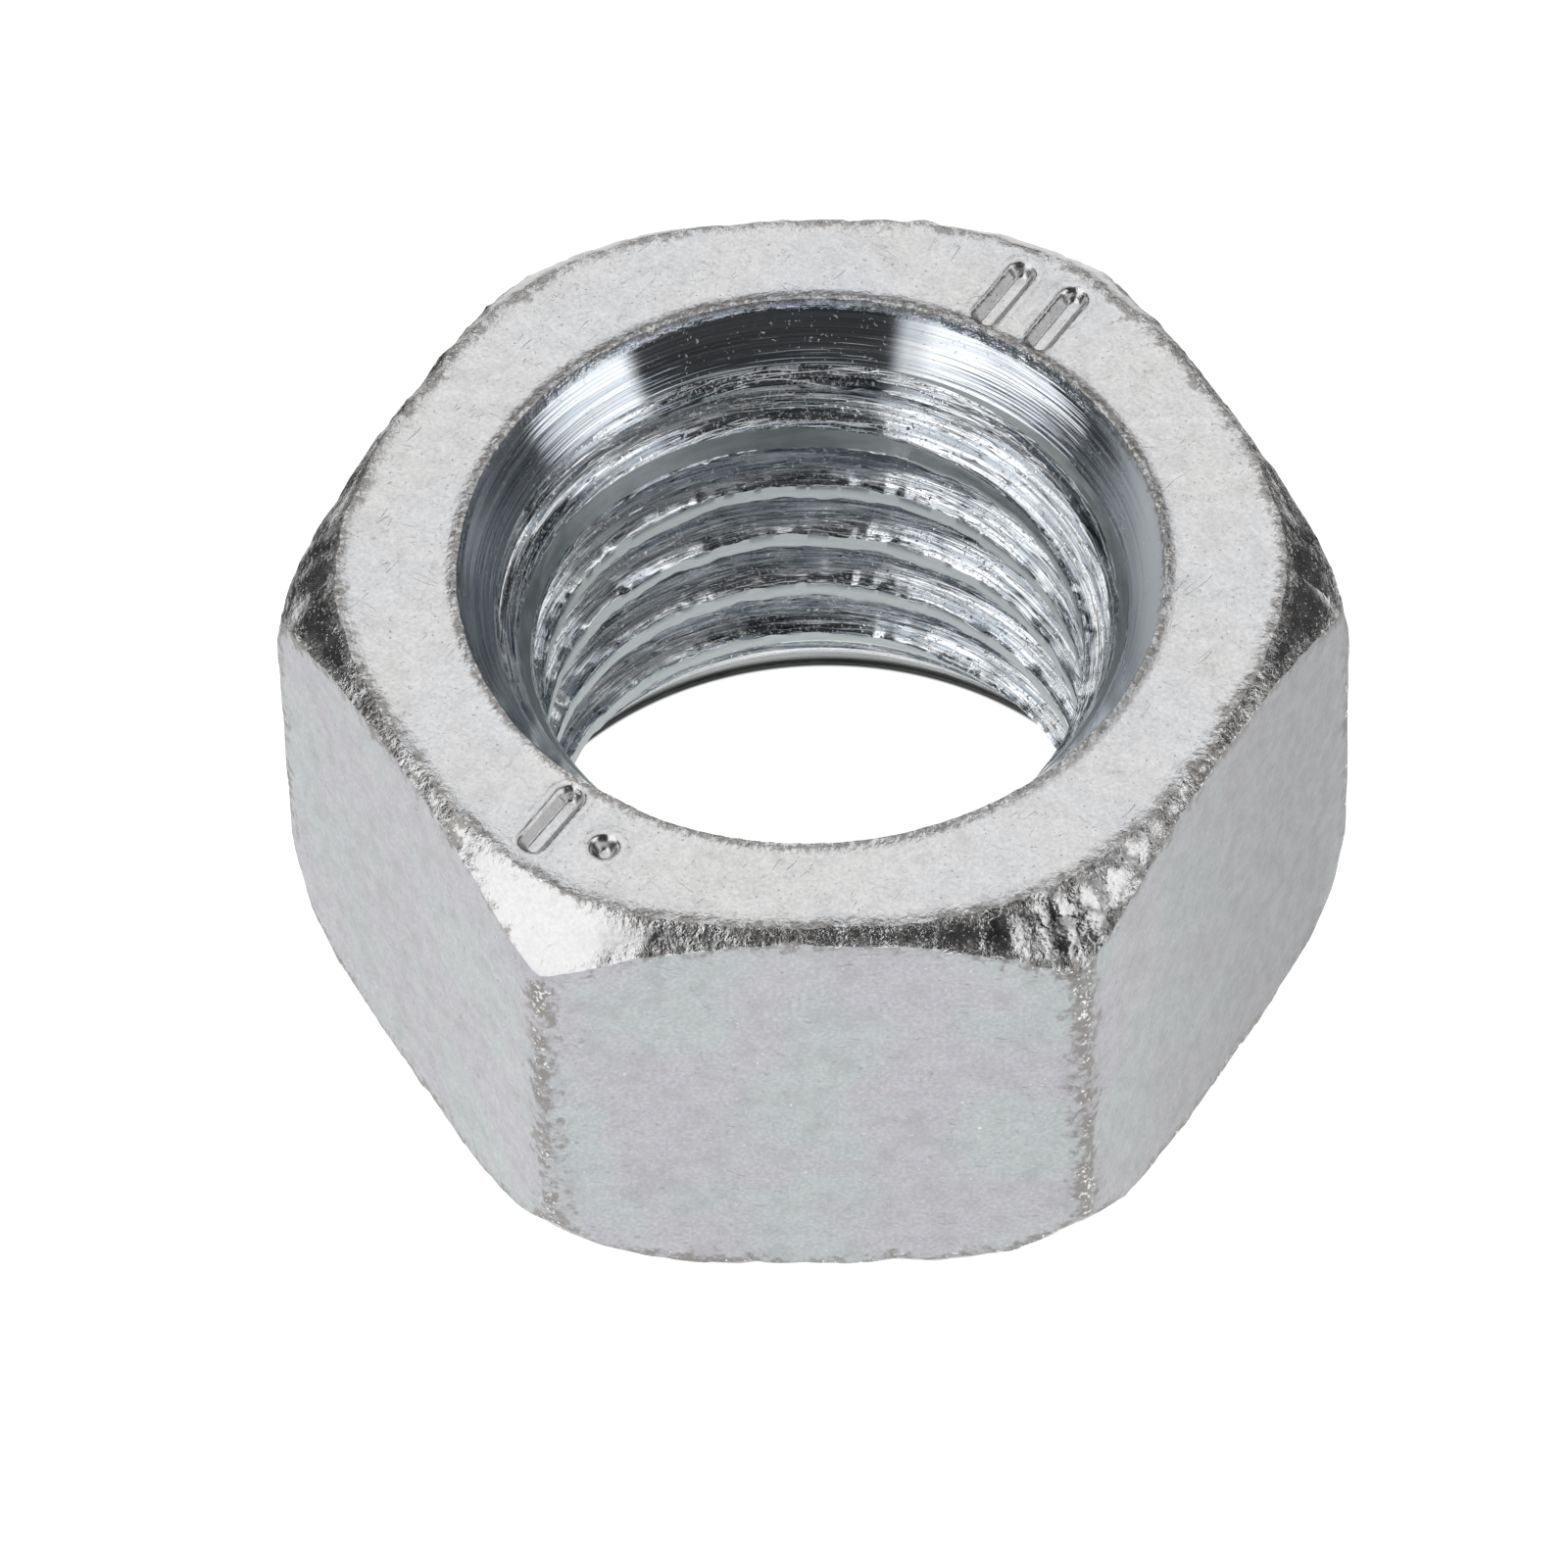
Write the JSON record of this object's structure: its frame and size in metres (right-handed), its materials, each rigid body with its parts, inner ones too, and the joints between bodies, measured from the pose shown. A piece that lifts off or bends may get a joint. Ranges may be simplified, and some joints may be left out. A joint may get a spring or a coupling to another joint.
{
  "type": "hex nut",
  "caption": "Zinc-plated hexagon nut, chamfered on both faces, with a right-hand threaded hole and wide countersinks.",
  "frame": {"origin": "middle of the lower bearing face", "axes": "+Z along the thread axis towards the stamped face, +X towards a corner of the hexagon, a wrench flat faces -Y"},
  "size_m": [0.0276, 0.024, 0.0148],
  "materials": {
    "zinc_plated_steel": "bright zinc plating over forged and turned steel, satin on the flats, shiny in the hole"
  },
  "bodies": {
    "root": {"hex_nut": "zinc_plated_steel"}
  },
  "joints": []
}
